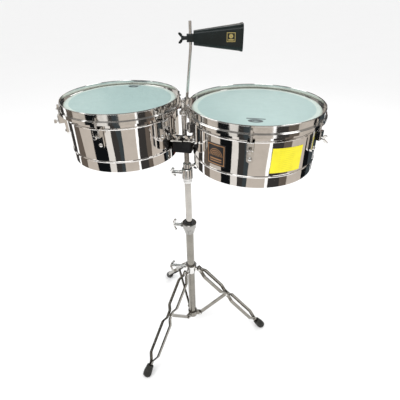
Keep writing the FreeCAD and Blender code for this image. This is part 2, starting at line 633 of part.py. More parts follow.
# ---------------------------------------------------------------- tubes and clamps
def make_base():
    tube_top = HEIGHT_CLAMP_Z + 22.0
    outer = BASE_TUBE_R
    base = pipe(outer, outer - TUBE_WALL, point(0, 0, BASE_TUBE_BOTTOM), point(0, 0, tube_top))
    keep("base_tube", base)
    low = HEIGHT_CLAMP_Z
    high = low + HEIGHT_CLAMP_TALL
    bush_r = MIDDLE_TUBE_R + 2.4
    seat_r = BASE_TUBE_R + SEAT
    big = HEIGHT_CLAMP_R
    profile = [(seat_r, low), (seat_r + 2.5, low), (seat_r + 3.2, low + 2), (big - 1.5, low + 22), (big, low + 25)]
    profile += [(big, high - 9), (big + 2.0, high - 7), (big + 2.0, high - 2), (big, high), (bush_r + SEAT, high)]
    profile += [(bush_r + SEAT, tube_top + 1.0), (seat_r, tube_top + 1.0)]
    clamp = turned(profile)
    screw_z = high - 14
    clamp = add_boss(clamp, screw_z, big - 3, big + 7, SCREW_AZIMUTH, 8.5, bush_r + SEAT)
    keep("height_clamp", clamp.removeSplitter())
    inner = MIDDLE_TUBE_R + SLIDE
    profile = [(inner, tube_top + 1.5), (bush_r, tube_top + 1.5), (bush_r, high + TOUCH)]
    profile += [(bush_r + 3.5, high + TOUCH), (bush_r + 3.5, high + 1.8), (bush_r + 2.5, high + 2.6)]
    profile += [(inner, high + 2.6)]
    keep("height_clamp_bush", turned(profile))
    keep("height_screw", placed_t_screw(screw_z, bush_r + 0.3, big + 7, 56.0, SCREW_AZIMUTH, 90.0))


def make_middle():
    top = UPPER_CLAMP_Z + 16.0
    tube_r = MIDDLE_TUBE_R
    tube = pipe(tube_r, tube_r - TUBE_WALL, point(0, 0, MIDDLE_TUBE_BOTTOM), point(0, 0, top))
    keep("middle_tube", tube)
    low = UPPER_CLAMP_Z
    high = low + UPPER_CLAMP_TALL
    seat_r = MIDDLE_TUBE_R + SEAT
    bush_r = UPPER_POST_R + 2.2
    big = UPPER_CLAMP_R
    profile = [(seat_r, low), (big - 4, low), (big - 3.2, low + 1.5), (big - 3.2, low + 13), (big - 0.8, low + 15)]
    profile += [(big, low + 17), (big, high - 2), (big - 1.5, high), (bush_r + SEAT, high)]
    profile += [(bush_r + SEAT, top + 1.0), (seat_r, top + 1.0)]
    clamp = turned(profile)
    screw_z = high - 17
    clamp = add_boss(clamp, screw_z, big - 3, big + 8, SCREW_AZIMUTH, 8.0, bush_r + SEAT)
    keep("upper_clamp", clamp.removeSplitter())
    inner = UPPER_POST_R + SLIDE
    profile = [(inner, top + 1.5), (bush_r, top + 1.5), (bush_r, high + TOUCH), (bush_r + 3.0, high + TOUCH)]
    profile += [(bush_r + 3.0, high + 1.4), (bush_r + 2.2, high + 2.0), (inner, high + 2.0)]
    keep("upper_clamp_bush", turned(profile))
    keep("upper_screw", placed_t_screw(screw_z, bush_r + 0.3, big + 8, 50.0, SCREW_AZIMUTH, 60.0))


def make_post():
    """The top tube, its memory collar and the knuckle that the mount block tilts on."""
    top = TILT_Z - KNUCKLE_R - 6.0
    keep("upper_post", pipe(UPPER_POST_R, UPPER_POST_R - TUBE_WALL, point(0, 0, UPPER_POST_BOTTOM), point(0, 0, top)))
    low = UPPER_CLAMP_Z + UPPER_CLAMP_TALL + 2.0 + TOUCH
    high = low + COLLAR_TALL
    inner = UPPER_POST_R + SEAT
    outer = UPPER_POST_R + 5.0
    profile = [(inner, low), (outer - 1, low), (outer, low + 1), (outer, high - 1), (outer - 1, high), (inner, high)]
    collar = turned(profile)
    screw_z = (low + high) / 2
    azimuth = SCREW_AZIMUTH + 180.0
    collar = add_boss(collar, screw_z, outer - 2, outer + 4, azimuth, 5.5, inner)
    keep("memory_collar", collar.removeSplitter())
    wings = wing_screw(outer + 4 - inner - 0.8, 11.0, SCREW_R)
    at = radial(azimuth, outer + 4.2, screw_z)
    keep("memory_collar_screw", stood(wings, at, at - point(0, 0, screw_z)))
    socket_r = UPPER_POST_R - TUBE_WALL - SEAT
    barrel = rod(KNUCKLE_R, point(-KNUCKLE_HALF, 0, TILT_Z), point(KNUCKLE_HALF, 0, TILT_Z))
    seat = rod(UPPER_POST_R, point(0, 0, top + TOUCH), point(0, 0, TILT_Z))
    plug = rod(socket_r, point(0, 0, top - 25), point(0, 0, TILT_Z))
    knuckle = barrel.fuse(seat).fuse(plug)
    bore = rod(TILT_PIN_R + RUN, point(-40, 0, TILT_Z), point(40, 0, TILT_Z))
    keep("tilt_knuckle", knuckle.cut(bore).removeSplitter())


def make_mount_block():
    """The black channel between the shells that carries both drums."""
    low = BLOCK_TOP_Z - BLOCK_TALL
    body = block(BLOCK_LEFT, BLOCK_RIGHT, BLOCK_FRONT, BLOCK_BACK, low, BLOCK_TOP_Z)
    body = softened(body, 3.0, vertical)
    wall = BLOCK_PLATE
    front = BLOCK_FRONT + wall
    hollow = block(BLOCK_LEFT + wall, BLOCK_RIGHT - wall, front, BLOCK_BACK + 9, low - 1, BLOCK_TOP_Z - wall)
    body = body.cut(hollow)
    for screw in (LEFT_SCREW, RIGHT_SCREW):
        tall = BLOCK_TOP_Z + 1
        body = body.cut(rod(WING_SCREW_R + RUN, point(screw[0], screw[1], low), point(screw[0], screw[1], tall)))
    body = body.cut(rod(TILT_PIN_R + SEAT, point(-80, 0, TILT_Z), point(80, 0, TILT_Z)))
    stud = rod(5.0 + SEAT, post_point(BLOCK_TOP_Z - wall - 1), post_point(BLOCK_TOP_Z + 1))
    keep("mount_block", body.cut(stud))
    pin = rod(TILT_PIN_R, point(BLOCK_LEFT - 0.4, 0, TILT_Z), point(BLOCK_RIGHT + 0.4, 0, TILT_Z))
    for face, way in ((BLOCK_LEFT - TOUCH, -1), (BLOCK_RIGHT + TOUCH, 1)):
        pin = pin.fuse(Part.makeCone(6.2, 5.2, TILT_HEAD, point(face, 0, TILT_Z), point(way, 0, 0)))
    keep("tilt_pin", pin)


def post_point(z):
    return point(ACCESSORY_POST_X, ACCESSORY_POST_Y, z)


def make_accessory_post():
    """The short post behind the drums' meeting point, with the cowbell rod's holder on top."""
    low = BLOCK_TOP_Z + TOUCH
    radius = ACCESSORY_POST_R
    top = HOLDER_Z - TOUCH
    wall = BLOCK_PLATE
    profile = [(0, low - wall - 3), (5.0, low - wall - 3), (5.0, low), (radius + 2.5, low), (radius + 2.5, low + 4)]
    profile += [(radius, low + 7), (radius, top - 22), (radius + 5.0, top - 21), (radius + 5.5, top - 19)]
    profile += [(radius + 5.5, top - 14), (radius + 5.0, top - 12), (radius, top - 11), (radius, top), (0, top)]
    keep("accessory_post", turned(profile, ACCESSORY_POST_X, ACCESSORY_POST_Y))
    half = HOLDER_WIDE / 2
    back = COWBELL_ROD_Y + 9.0
    x = ACCESSORY_POST_X
    arm = block(x - half, x + half, ACCESSORY_POST_Y - 8.0, back, HOLDER_Z, HOLDER_Z + HOLDER_TALL)
    arm = softened(arm, 3.0, vertical)
    lean = rod_direction()
    through = rod_point(HOLDER_Z + HOLDER_TALL / 2)
    arm = arm.cut(rod(COWBELL_ROD_R + SLIDE, through - lean * 30, through + lean * 30))
    middle = HOLDER_Z + HOLDER_TALL / 2
    tap = rod(SCREW_R + RUN, point(x, back + 1, middle), point(x, COWBELL_ROD_Y, middle))
    arm = arm.cut(tap)
    arm = arm.cut(rod(3.0 + RUN, post_point(HOLDER_Z - 1), post_point(HOLDER_Z + HOLDER_TALL + 1)))
    keep("rod_holder", arm)
    wings = wing_screw(back - COWBELL_ROD_Y - COWBELL_ROD_R - 0.1, 13.0, SCREW_R)
    keep("rod_holder_screw", stood(wings, point(x, back + 0.3, middle), ALONG_Y))
    top = HOLDER_Z + HOLDER_TALL + TOUCH
    cap = turned([(0, top - 12), (3.0, top - 12), (3.0, top), (6.2, top), (6.6, top + 1), (5.6, top + 7),
                  (3.6, top + 9.5), (0, top + 10)], ACCESSORY_POST_X, ACCESSORY_POST_Y)
    keep("holder_cap_screw", cap)


def rod_direction():
    lean = math.radians(COWBELL_ROD_LEAN)
    return point(math.sin(lean), 0, math.cos(lean))


def rod_point(z):
    """Where the leaning part of the cowbell rod is at a height."""
    through = point(COWBELL_ROD_X, COWBELL_ROD_Y, HOLDER_Z + HOLDER_TALL / 2)
    way = rod_direction()
    return through + way * ((z - through.z) / way.z)


def cowbell_axis():
    knee = rod_point(COWBELL_ROD_KNEE_Z)
    return point(knee.x, knee.y, COWBELL_Z)


def make_cowbell_rod():
    foot = rod_point(HOLDER_Z - COWBELL_ROD_BELOW)
    knee = rod_point(COWBELL_ROD_KNEE_Z)
    tip = point(knee.x, knee.y, COWBELL_ROD_TOP_Z)
    bent = round_rod([foot, knee, tip], 90.0, COWBELL_ROD_R)
    mark = point(knee.x, knee.y, COWBELL_Z + DEPTH_MARK_UP)
    groove = pipe(COWBELL_ROD_R + 1, COWBELL_ROD_R - DEPTH_MARK_DEEP, mark, mark + UP)
    keep("cowbell_rod", bent.cut(groove))


def bell_section(x, tall, deep, shrink):
    """A slice of the bell across x: flat sides with well rounded corners, centred on y = z = 0."""
    half_z = tall / 2 - shrink
    half_y = deep / 2 - shrink
    corner = 0.30 * min(tall, deep) - shrink * 0.5
    face = polygon([point(x, -half_y, -half_z), point(x, half_y, -half_z), point(x, half_y, half_z),
                    point(x, -half_y, half_z)])
    solid = face.extrude(point(1, 0, 0))
    solid = solid.makeFillet(corner, [e for e in solid.Edges if abs(e.tangentAt(e.FirstParameter).x) > 0.99])
    ends = [f for f in solid.Faces if abs(f.CenterOfMass.x - x) < 1e-6]
    return ends[0].OuterWire


def make_cowbell():
    start = COWBELL_OFFSET
    end = start + COWBELL_LONG
    outside = Part.makeLoft([bell_section(start, *COWBELL_END, 0), bell_section(end, *COWBELL_MOUTH, 0)], True)
    grow_tall = (COWBELL_MOUTH[0] - COWBELL_END[0]) / COWBELL_LONG
    grow_deep = (COWBELL_MOUTH[1] - COWBELL_END[1]) / COWBELL_LONG
    first = start + COWBELL_WALL
    small = (COWBELL_END[0] + grow_tall * COWBELL_WALL, COWBELL_END[1] + grow_deep * COWBELL_WALL)
    beyond = 5.0
    big = (COWBELL_MOUTH[0] + grow_tall * beyond, COWBELL_MOUTH[1] + grow_deep * beyond)
    inside = Part.makeLoft([bell_section(first, *small, COWBELL_WALL),
                            bell_section(end + beyond, *big, COWBELL_WALL)], True)
    bell = outside.cut(inside)
    lip_deep = 2.2
    lip_out = Part.makeLoft([bell_section(end - 7, COWBELL_MOUTH[0] - 0.2, COWBELL_MOUTH[1] - 0.2, 0),
                             bell_section(end, COWBELL_MOUTH[0] + lip_deep, COWBELL_MOUTH[1] + lip_deep, 0)], True)
    bell = bell.fuse(lip_out.cut(inside))
    stud_hole = rod(3.0 + SEAT, point(start - 5, 0, 0), point(start + 5, 0, 0))
    bell = bell.cut(stud_hole)
    keep("cowbell", bell_place(bell))
    half = 10.0
    jaw = block(-10.0, start - TOUCH, -half, half, -half, half)
    jaw = softened(jaw, 3.5, lambda e: abs(e.tangentAt(e.FirstParameter).x) > 0.99)
    jaw = jaw.cut(rod(COWBELL_ROD_R + RUN, point(0, 0, -30), point(0, 0, 30)))
    jaw = jaw.cut(rod(SCREW_R + RUN, point(-12, 0, 0), ZERO))
    jaw = jaw.cut(rod(3.0 + SEAT, point(5.6, 0, 0), point(12, 0, 0)))
    keep("cowbell_clamp", bell_place(jaw))
    rivet = rod(3.0, point(5.8, 0, 0), point(start + 2.4, 0, 0))
    rivet = rivet.fuse(Part.makeCone(6.0, 4.2, 2.6, point(start + COWBELL_WALL + TOUCH, 0, 0), ALONG_X))
    keep("cowbell_rivet", bell_place(rivet))
    wings = wing_screw(10.0 - COWBELL_ROD_R - 0.3, 14.0, SCREW_R)
    neck = rod(5.0, ZERO, point(0, 0, 9.0))
    wings.translate(point(0, 0, 8.0))
    wings = wings.fuse(neck)
    wings = wings.fuse(rod(SCREW_R, point(0, 0, -5.6), point(0, 0, 9)))
    keep("cowbell_wing_screw", bell_place(stood(wings, point(-10.3, 0, 0), point(-1, 0, 0))))


def bell_place(shape):
    copy = shape.copy()
    copy.rotate(ZERO, UP, COWBELL_AZIMUTH)
    copy.translate(cowbell_axis())
    return copy


def make_badge():
    """The plain badge plate on the right shell, curved to it."""
    radius = RIGHT_SHELL_R + SEAT
    low = SHELL_BOTTOM_Z + BADGE_UP
    foot = point(RIGHT_X, DRUM_LINE_Y, low)
    ring = pipe(radius + BADGE_THICK, radius, foot, foot + UP * BADGE_TALL)
    far = radius * 1.4
    side = far * math.tan(math.radians(BADGE_HALF_ANGLE))
    corners = [point(0, 0, -5), point(far, -side, -5), point(far, side, -5)]
    wedge = polygon([foot + corner for corner in corners]).extrude(UP * (BADGE_TALL + 10))
    keep("right_badge", ring.common(around(wedge, BADGE_AZIMUTH, RIGHT_X, DRUM_LINE_Y)))


def make_wing_lug_screw():
    """The wing screw in the right drum's outermost lug."""
    azimuth = lug_azimuths()[-1]
    top = RIM_TOP_Z - LUG_TOP_DOWN
    z = top - LUG_BLOCK_TALL + CROSS_BOLT_UP
    face = rod_radius(RIGHT_SHELL_R) + LUG_BEYOND_ROD
    wings = wing_screw(14.0, 15.0, ROD_R)
    foot = radial(azimuth, face + 0.3, z, RIGHT_X, DRUM_LINE_Y)
    outward = radial(azimuth, 1.0, 0)
    keep("right_lug_wing_screw", stood(wings, foot, outward))


make_base()
make_lower_bracket()
make_leg_hub()
for leg_name, leg_azimuth in LEG_AZIMUTHS.items():
    make_leg(leg_name, leg_azimuth, RUN if leg_name == "right" else OPEN)
    make_brace(leg_name, leg_azimuth)
make_middle()
make_post()
make_mount_block()
make_accessory_post()
make_cowbell_rod()
make_cowbell()
make_drum("left", -1, LEFT_X, LEFT_SHELL_R, LEFT_SCREW, None)
make_drum("right", 1, RIGHT_X, RIGHT_SHELL_R, RIGHT_SCREW, lug_azimuths()[-1])
make_wing_lug_screw()
make_badge()

whole = FreeCAD.BoundBox()
for shape in nodes.values():
    whole.add(shape.optimalBoundingBox(False, False))
shift = point(-(whole.XMin + whole.XMax) / 2, -(whole.YMin + whole.YMax) / 2, -whole.ZMin)
print("shift", round(shift.x, 4), round(shift.y, 4), round(shift.z, 4))
print("size", round(whole.XLength, 2), round(whole.YLength, 2), round(whole.ZLength, 2))

os.makedirs("parts", exist_ok=True)
for name, shape in nodes.items():
    moved = shape.copy()
    moved.translate(shift)
    if not moved.isValid():
        print("not valid:", name)
    moved.exportStep("parts/" + name + ".step")
print("nodes", len(nodes))
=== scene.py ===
import json
import math
import bpy
from mathutils import Matrix, Vector


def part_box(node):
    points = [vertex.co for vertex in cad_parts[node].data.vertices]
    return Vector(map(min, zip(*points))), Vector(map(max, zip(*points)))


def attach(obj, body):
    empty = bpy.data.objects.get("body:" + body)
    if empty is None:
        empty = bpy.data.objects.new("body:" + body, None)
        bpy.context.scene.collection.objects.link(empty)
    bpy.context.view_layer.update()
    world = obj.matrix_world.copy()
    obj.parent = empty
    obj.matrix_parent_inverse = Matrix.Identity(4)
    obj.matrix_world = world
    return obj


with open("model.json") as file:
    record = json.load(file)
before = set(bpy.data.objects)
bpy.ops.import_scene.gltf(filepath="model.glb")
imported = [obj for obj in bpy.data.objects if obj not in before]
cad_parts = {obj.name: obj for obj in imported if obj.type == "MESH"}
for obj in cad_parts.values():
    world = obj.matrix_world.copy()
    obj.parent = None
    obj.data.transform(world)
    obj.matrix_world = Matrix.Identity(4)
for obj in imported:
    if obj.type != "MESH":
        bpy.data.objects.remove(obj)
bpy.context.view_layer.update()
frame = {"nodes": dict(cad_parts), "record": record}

# ---------------------------------------------------------------- camera
CAMERA_PLACE = (0.2347, -0.9127, 1.294)
CAMERA_TURN = 12.2          # degrees towards -X from looking along +Y
CAMERA_DOWN = 33.5          # degrees below level
CAMERA_ROLL = -0.9
LENS_MM = 29.8
SENSOR_MM = 36.0

# ---------------------------------------------------------------- sizes in the CAD model, in metres
RIGHT_SHELL_RADIUS = 0.178
BADGE_HALF_ANGLE = math.radians(9.5)
BELL_TURN = math.radians(12.2)     # the bell's long axis, from +X towards +Y
BELL_BACK_DEPTH = 0.028            # front to back at its closed end
BELL_MOUTH_GROWTH = 0.022          # how much deeper it is at its mouth
BELL_LENGTH = 0.134
BELL_START = 0.009                 # closed end, measured along the bell from the rod

# ---------------------------------------------------------------- finishes
MINT = (0.345, 0.475, 0.458)
# painted highlight: the paler mint of the band at each head's collar
PAINTED_COLLAR_HIGHLIGHT = (0.50, 0.60, 0.555)
CREAM = (0.44, 0.49, 0.43)
CHROME = (0.84, 0.83, 0.81)
SHELL_CHROME = (0.86, 0.84, 0.82)
# painted shade: a darkened copy of the stand's plating for the base tube and legs, standing in for the
# dark surroundings they reflect
STAND_PLATING_PAINTED_SHADE = (0.30, 0.283, 0.25)
# painted shade: darker copies of the chrome for the middle tube, upper post and height clamp, toning down
# the ceiling panels' highlights on them
TUBE_PLATING_PAINTED_SHADE = (0.50, 0.475, 0.44)
CLAMP_PLATING_PAINTED_SHADE = (0.40, 0.39, 0.37)
BLACK = (0.010, 0.010, 0.011)
COPPER = (0.50, 0.27, 0.13)
YELLOW = (0.87, 0.77, 0.015)
GOLD = (0.52, 0.42, 0.16)
INK = (0.012, 0.022, 0.035)


# ---------------------------------------------------------------- material helpers
class Finish:
    """A node material under construction: a Principled shader and short ways to feed it."""

    def __init__(self, name, colour, metallic=0.0, roughness=0.5):
        self.material = bpy.data.materials.new(name)
        self.material.use_nodes = True
        self.tree = self.material.node_tree
        self.shader = self.tree.nodes["Principled BSDF"]
        self.shader.inputs["Base Color"].default_value = (*colour, 1)
        self.shader.inputs["Metallic"].default_value = metallic
        self.shader.inputs["Roughness"].default_value = roughness
        self.coords = self.tree.nodes.new("ShaderNodeTexCoord").outputs["Object"]

    def set(self, socket, value):
        self.shader.inputs[socket].default_value = value
        return self

    def node(self, kind, **values):
        made = self.tree.nodes.new(kind)
        for key, value in values.items():
            setattr(made, key, value)
        return made

    def link(self, source, target):
        self.tree.links.new(source, target)

    def mapped(self, scale):
        moved = self.node("ShaderNodeMapping")
        moved.inputs["Scale"].default_value = scale
        self.link(self.coords, moved.inputs["Vector"])
        return moved.outputs["Vector"]

    def noise(self, scale, detail=4.0, rough=0.55, stretch=(1, 1, 1)):
        made = self.node("ShaderNodeTexNoise")
        made.inputs["Scale"].default_value = scale
        made.inputs["Detail"].default_value = detail
        made.inputs["Roughness"].default_value = rough
        self.link(self.mapped(stretch), made.inputs["Vector"])
        return made.outputs["Fac"]

    def voronoi(self, scale):
        made = self.node("ShaderNodeTexVoronoi")
        made.inputs["Scale"].default_value = scale
        self.link(self.mapped((1, 1, 1)), made.inputs["Vector"])
        return made.outputs["Distance"]

    def ramp(self, value, low, high, start=0.0, end=1.0):
        """value from low..high mapped to start..end and clamped."""
        made = self.node("ShaderNodeMapRange", clamp=True)
        limits = {"From Min": low, "From Max": high, "To Min": start, "To Max": end}
        for socket, number in limits.items():
            made.inputs[socket].default_value = number
        self.link(value, made.inputs["Value"])
        return made.outputs["Result"]

    def math(self, operation, *values):
        made = self.node("ShaderNodeMath", operation=operation)
        for index, value in enumerate(values):
            if isinstance(value, (int, float)):
                made.inputs[index].default_value = value
            else:
                self.link(value, made.inputs[index])
        return made.outputs["Value"]

    def split(self, vector=None):
        made = self.node("ShaderNodeSeparateXYZ")
        self.link(vector or self.coords, made.inputs[0])
        return made.outputs[0], made.outputs[1], made.outputs[2]

    def band(self, value, centre, half, soft):
        """1 where value is within half of centre, falling to 0 over soft."""
        away = self.math("ABSOLUTE", self.math("SUBTRACT", value, centre))
        return self.ramp(away, half, half + soft, 1.0, 0.0)

    def reach(self, u, v):
        squares = self.math("ADD", self.math("MULTIPLY", u, u), self.math("MULTIPLY", v, v))
        return self.math("SQRT", squares)

    def mix(self, factor, first, second):
        """A colour between two colours or colour sockets."""
        made = self.node("ShaderNodeMix", data_type="RGBA")
        for index, value in ((6, first), (7, second)):
            if isinstance(value, tuple):
                made.inputs[index].default_value = (*value, 1)
            else:
                self.link(value, made.inputs[index])
        self.link(factor, made.inputs[0])
        return made.outputs[2]

    def colour(self, source):
        self.link(source, self.shader.inputs["Base Color"])
        return self

    def rough(self, source):
        self.link(source, self.shader.inputs["Roughness"])
        return self

    def bump(self, height, strength, distance):
        made = self.node("ShaderNodeBump")
        made.inputs["Strength"].default_value = strength
        made.inputs["Distance"].default_value = distance
        self.link(height, made.inputs["Height"])
        last = self.shader.inputs["Normal"].links
        if last:
            self.link(last[0].from_socket, made.inputs["Normal"])
        self.link(made.outputs["Normal"], self.shader.inputs["Normal"])
        return self


def shade(colour, factor):
    return tuple(channel * factor for channel in colour)


def centre_of(name):
    low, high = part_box(name)
    return (low + high) / 2


# ---------------------------------------------------------------- materials
def plated(name, colour, smooth, dull, wear, ripple=0.05):
    """Plated steel: faint cloudiness, hairline polishing marks and a few darker smudges."""
    made = Finish(name, colour, metallic=1.0, roughness=smooth)
    smudge = made.noise(26.0, 5.0, 0.62)
    made.colour(made.mix(made.ramp(smudge, 0.42, 0.68), colour, shade(colour, wear)))
    fine = made.noise(240.0, 3.0, 0.5, (1, 1, 0.12))
    cloud = made.ramp(made.noise(9.0, 6.0), 0.35, 0.75, smooth, dull)
    made.rough(made.math("ADD", cloud, made.ramp(fine, 0.45, 0.8, 0.0, 0.03)))
    made.bump(made.noise(520.0, 2.0, 0.5, (1, 1, 0.2)), 0.04, 0.0002)
    made.bump(made.noise(11.0, 2.0), ripple, 0.0012)
    return made.material


def drum_film(name, centre, radius, mark, mark_size):
    """Frosted plastic skin: mint, a paler band at the collar that is a painted highlight, a cream edge,
    and an oval mark over a bar.
    """
    made = Finish(name, MINT, roughness=0.42)
    x, y, _ = made.split()
    dx = made.math("SUBTRACT", x, centre[0])
    dy = made.math("SUBTRACT", y, centre[1])
    away = made.reach(dx, dy)
    mottle = made.noise(34.0, 5.0)
    field = made.mix(made.ramp(mottle, 0.35, 0.7), MINT, shade(MINT, 0.955))
    # painted highlight: a paler band at the collar, from 0.915 of the radius out to the cream edge
    field = made.mix(made.ramp(away, radius * 0.905, radius * 0.915), field, PAINTED_COLLAR_HIGHLIGHT)
    field = made.mix(made.ramp(away, radius * 0.958, radius * 0.985), field, CREAM)
    u = made.math("DIVIDE", made.math("SUBTRACT", dx, mark[0]), mark_size)
    v = made.math("DIVIDE", made.math("SUBTRACT", dy, mark[1]), mark_size * 0.62)
    ring = made.band(made.reach(u, v), 0.66, 0.24, 0.05)
    core = made.math("MULTIPLY", made.band(u, 0.0, 0.32, 0.04), made.band(v, 0.05, 0.22, 0.04))
    base = made.math("MULTIPLY", made.band(u, 0.0, 1.15, 0.05), made.band(v, 1.25, 0.22, 0.05))
    shapes = made.math("MAXIMUM", made.math("MAXIMUM", ring, core), base)
    print_on = made.math("MULTIPLY", shapes, 0.88)
    made.colour(made.mix(print_on, field, INK))
    made.rough(made.ramp(made.noise(60.0, 4.0), 0.3, 0.7, 0.34, 0.48))
    made.bump(made.noise(1800.0, 2.0), 0.10, 0.0002)
    made.bump(made.band(away, radius * 0.91, 0.0, 0.004), 0.5, 0.0008)
    made.set("Subsurface Weight", 0.06).set("Subsurface Radius", (0.004, 0.004, 0.004))
    made.set("Coat Weight", 0.12).set("Coat Roughness", 0.22)
    return made.material


def rubber():
    made = Finish("foot_rubber", (0.022, 0.021, 0.018), roughness=0.6)
    dust = made.ramp(made.noise(70.0, 6.0, 0.7), 0.5, 0.78)
    made.colour(made.mix(dust, (0.012, 0.012, 0.009), (0.05, 0.046, 0.038)))
    made.rough(made.ramp(made.noise(40.0, 3.0), 0.3, 0.7, 0.45, 0.72))
    made.bump(made.noise(900.0, 3.0), 0.25, 0.0004)
    return made.material


def powder_coat():
    made = Finish("black_powder_coat", BLACK, roughness=0.42)
    made.colour(made.mix(made.ramp(made.noise(45.0, 5.0), 0.5, 0.75), BLACK, (0.02, 0.02, 0.021)))
    made.rough(made.ramp(made.noise(30.0, 3.0), 0.3, 0.7, 0.34, 0.52))
    made.bump(made.voronoi(1500.0), 0.18, 0.0003)
    made.set("Specular IOR Level", 0.12)
    return made.material


def bell_enamel():
    """Black enamel over folded steel, with orange peel and a slight greenish sheen."""
    made = Finish("bell_enamel", (0.006, 0.010, 0.010), roughness=0.3)
    cloud = made.ramp(made.noise(18.0, 5.0), 0.4, 0.7)
    made.colour(made.mix(cloud, (0.004, 0.008, 0.008), (0.009, 0.015, 0.015)))
    made.rough(made.ramp(made.noise(22.0, 4.0), 0.3, 0.7, 0.24, 0.36))
    made.bump(made.noise(260.0, 2.0), 0.08, 0.0005)
    made.set("Coat Weight", 0.2).set("Coat Roughness", 0.14).set("Specular IOR Level", 0.3)
    return made.material


def moulded_black():
    made = Finish("moulded_bush", (0.02, 0.02, 0.021), roughness=0.5)
    made.colour(made.mix(made.noise(60.0, 4.0), (0.014, 0.014, 0.015), (0.03, 0.03, 0.032)))
    made.bump(made.noise(700.0, 3.0), 0.2, 0.0003)
    return made.material


def aluminium():
    made = Finish("hoop_aluminium", (0.75, 0.75, 0.74), metallic=1.0, roughness=0.35)
    made.colour(made.mix(made.noise(50.0, 4.0), (0.70, 0.70, 0.69), (0.80, 0.80, 0.79)))
    made.bump(made.noise(400.0, 3.0, 0.5, (1, 1, 6)), 0.1, 0.0003)
    return made.material


def badge_enamel():
    """Dark enamel plate with a copper border and a plain fan of arcs over two bars."""
    made = Finish("badge_enamel", BLACK, roughness=0.3)
    middle = centre_of("right_badge")
    axis = centre_of("right_head")
    low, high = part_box("right_badge")
    x, y, z = made.split()
    angle = made.math("ARCTAN2", made.math("SUBTRACT", y, axis[1]), made.math("SUBTRACT", x, axis[0]))
    facing = math.atan2(middle[1] - axis[1], middle[0] - axis[0])
    radius = RIGHT_SHELL_RADIUS
    u = made.math("MULTIPLY", made.math("SUBTRACT", angle, facing), radius)
    v = made.math("SUBTRACT", z, middle[2])
    across = made.math("DIVIDE", made.math("ABSOLUTE", u), radius * BADGE_HALF_ANGLE)
    up = made.math("DIVIDE", made.math("ABSOLUTE", v), (high[2] - low[2]) / 2)
    rim = made.band(made.math("MAXIMUM", across, up), 0.88, 0.035, 0.02)
    drop = made.math("ADD", v, 0.004)
    reach = made.reach(u, drop)
    arcs = made.ramp(made.math("SINE", made.math("MULTIPLY", reach, 1300.0)), 0.1, 0.5)
    fan = made.ramp(reach, 0.021, 0.022, 1.0, 0.0)
    inside = made.math("MULTIPLY", fan, made.ramp(drop, 0.0, 0.001))
    upper_bar = made.band(v, -0.012, 0.0016, 0.0006)
    bars = made.math("MAXIMUM", upper_bar, made.band(v, -0.0185, 0.0010, 0.0006))
    bars = made.math("MULTIPLY", bars, made.ramp(across, 0.62, 0.66, 1.0, 0.0))
    print_on = made.math("MAXIMUM", rim, made.math("MAXIMUM", made.math("MULTIPLY", arcs, inside), bars))
    worn = made.math("MULTIPLY", print_on, made.ramp(made.noise(420.0, 4.0), 0.25, 0.5, 0.35, 1.0))
    made.colour(made.mix(worn, BLACK, COPPER))
    made.link(made.math("MULTIPLY", worn, 0.7), made.shader.inputs["Metallic"])
    made.bump(worn, 0.35, 0.0003)
    made.set("Coat Weight", 0.25).set("Coat Roughness", 0.15)
    return made.material


def label_paper():
    """Glossy yellow label, blank but for a few plain rules."""
    made = Finish("label_paper", YELLOW, roughness=0.4)
    field = made.mix(made.ramp(made.noise(40.0, 5.0), 0.4, 0.75), YELLOW, shade(YELLOW, 0.9))
    lines = made.ramp(made.math("SINE", made.math("MULTIPLY", made.split()[2], 1150.0)), 0.80, 0.92)
    broken = made.ramp(made.noise(38.0, 2.0, 0.5, (1, 1, 0.05)), 0.40, 0.46)
    rules = made.math("MULTIPLY", made.math("MULTIPLY", lines, broken), 0.30)
    made.colour(made.mix(rules, field, (0.25, 0.22, 0.02)))
    made.rough(made.ramp(made.noise(90.0, 3.0), 0.3, 0.7, 0.34, 0.46))
    made.bump(made.noise(120.0, 3.0), 0.10, 0.0003)
    return made.material


def gold_print(centre, along):
    """Gold square outline with a plain ring over a bar."""
    made = Finish("gold_print", BLACK, roughness=0.35)
    offset = made.node("ShaderNodeVectorMath", operation="SUBTRACT")
    made.link(made.coords, offset.inputs[0])
    offset.inputs[1].default_value = centre
    dot = made.node("ShaderNodeVectorMath", operation="DOT_PRODUCT")
    made.link(offset.outputs["Vector"], dot.inputs[0])
    dot.inputs[1].default_value = along
    u = dot.outputs["Value"]
    v = made.split(offset.outputs["Vector"])[2]
    edge = made.math("MAXIMUM", made.math("ABSOLUTE", u), made.math("ABSOLUTE", v))
    outline = made.band(edge, 0.0108, 0.0006, 0.0004)
    lift = made.math("SUBTRACT", v, 0.0025)
    ring = made.band(made.reach(u, lift), 0.0032, 0.0020, 0.0005)
    bar_wide = made.band(u, 0.0, 0.0072, 0.0004)
    bar = made.math("MULTIPLY", bar_wide, made.band(v, -0.0064, 0.0014, 0.0004))
    print_on = made.math("MAXIMUM", outline, made.math("MAXIMUM", ring, bar))
    made.colour(made.mix(print_on, (0.006, 0.009, 0.009), GOLD))
    made.link(made.math("MULTIPLY", print_on, 0.6), made.shader.inputs["Metallic"])
    made.bump(made.noise(300.0, 3.0), 0.05, 0.0002)
    return made.material


# ---------------------------------------------------------------- building helpers
def mesh_from(name, verts, faces):
    mesh = bpy.data.meshes.new(name)
    mesh.from_pydata([tuple(v) for v in verts], [], faces)
    mesh.update()
    return mesh


def place(name, mesh, material, body=None, smooth=True):
    piece = bpy.data.objects.new(name, mesh)
    bpy.context.scene.collection.objects.link(piece)
    mesh.materials.append(material)
    for face in mesh.polygons:
        face.use_smooth = smooth
    if body:
        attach(piece, body)
    return piece


def grid_faces(rows, columns, first=0):
    faces = []
    for row in range(rows):
        for column in range(columns):
            a = first + row * (columns + 1) + column
            faces.append((a, a + 1, a + columns + 2, a + columns + 1))
    return faces


